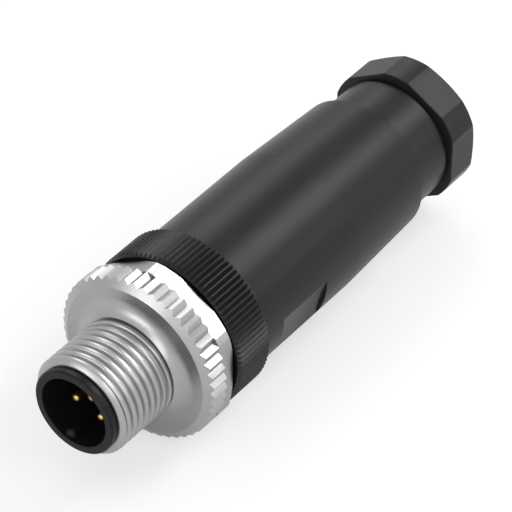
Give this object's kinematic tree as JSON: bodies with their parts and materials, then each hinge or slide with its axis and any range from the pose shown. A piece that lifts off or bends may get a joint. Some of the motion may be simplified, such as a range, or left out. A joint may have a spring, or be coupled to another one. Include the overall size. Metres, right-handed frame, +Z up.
{
  "type": "m12 connector",
  "caption": "Round cable plug: gold pins in a keyed recess, a freely turning M12 thread, a knurled union ring, a sleeve with wrench flats and a cable clamp nut.",
  "frame": {"origin": "on the axis, in the middle of the M12 thread, 5.8 mm behind the front face of the shroud", "axes": "the plug lies on its side: +Y runs along the axis to the cable end, the pins face -Y, +Z is up"},
  "size_m": [0.0202, 0.0627, 0.0202],
  "materials": {
    "nickel": "satin nickel plating on brass",
    "carrier_plastic": "black moulded plastic, slight sheen",
    "insert_plastic": "black moulded plastic",
    "gold": "gold plating on brass",
    "screw_steel": "bright zinc plating",
    "rubber": "matt black rubber",
    "collar_plastic": "black moulded plastic, fine grooves",
    "sleeve_plastic": "black moulded plastic, fine spark-eroded grain",
    "cage_plastic": "black moulded plastic",
    "nut_plastic": "black moulded plastic, fine spark-eroded grain"
  },
  "bodies": {
    "sleeve": {"sleeve": "sleeve_plastic", "cable_seal": "rubber"},
    "carrier": {"contact_carrier": "carrier_plastic", "contact_insert": "insert_plastic", "sleeve_seal": "rubber", "contact_pin_1": "gold", "contact_pin_2": "gold", "contact_pin_3": "gold", "contact_pin_4": "gold", "contact_pin_5": "gold", "terminal_screw_1": "screw_steel", "terminal_screw_2": "screw_steel", "terminal_screw_3": "screw_steel", "terminal_screw_4": "screw_steel", "terminal_screw_5": "screw_steel"},
    "collar": {"knurled_collar": "collar_plastic"},
    "coupling_screw": {"coupling_screw": "nickel"},
    "clamp_cage": {"clamp_cage": "cage_plastic"},
    "gland_nut": {"gland_nut": "nut_plastic"}
  },
  "joints": [
    {"name": "carrier_travel", "type": "slide", "parent": "sleeve", "child": "carrier", "axis": [0, 1, 0], "range_m": [-0.0026, 0]},
    {"name": "collar_turn", "type": "hinge", "parent": "carrier", "child": "collar", "pos_m": [0, 0.01235, 0], "axis": [0, 1, 0], "range_deg": [-940, 4]},
    {"name": "coupling_spin", "type": "hinge", "parent": "carrier", "child": "coupling_screw", "pos_m": [0, 0, 0], "axis": [0, 1, 0], "continuous": true},
    {"name": "cage_travel", "type": "slide", "parent": "sleeve", "child": "clamp_cage", "axis": [0, 1, 0], "range_m": [-0.0014, 0.0025]},
    {"name": "nut_turn", "type": "hinge", "parent": "clamp_cage", "child": "gland_nut", "pos_m": [0, 0.0492, 0], "axis": [0, 1, 0], "range_deg": [-508, 904]}
  ],
  "couplings": [
    {"joint": "collar_turn", "follows": "carrier_travel", "rad_per_m": 6283.2},
    {"joint": "nut_turn", "follows": "cage_travel", "rad_per_m": 6283.2}
  ]
}
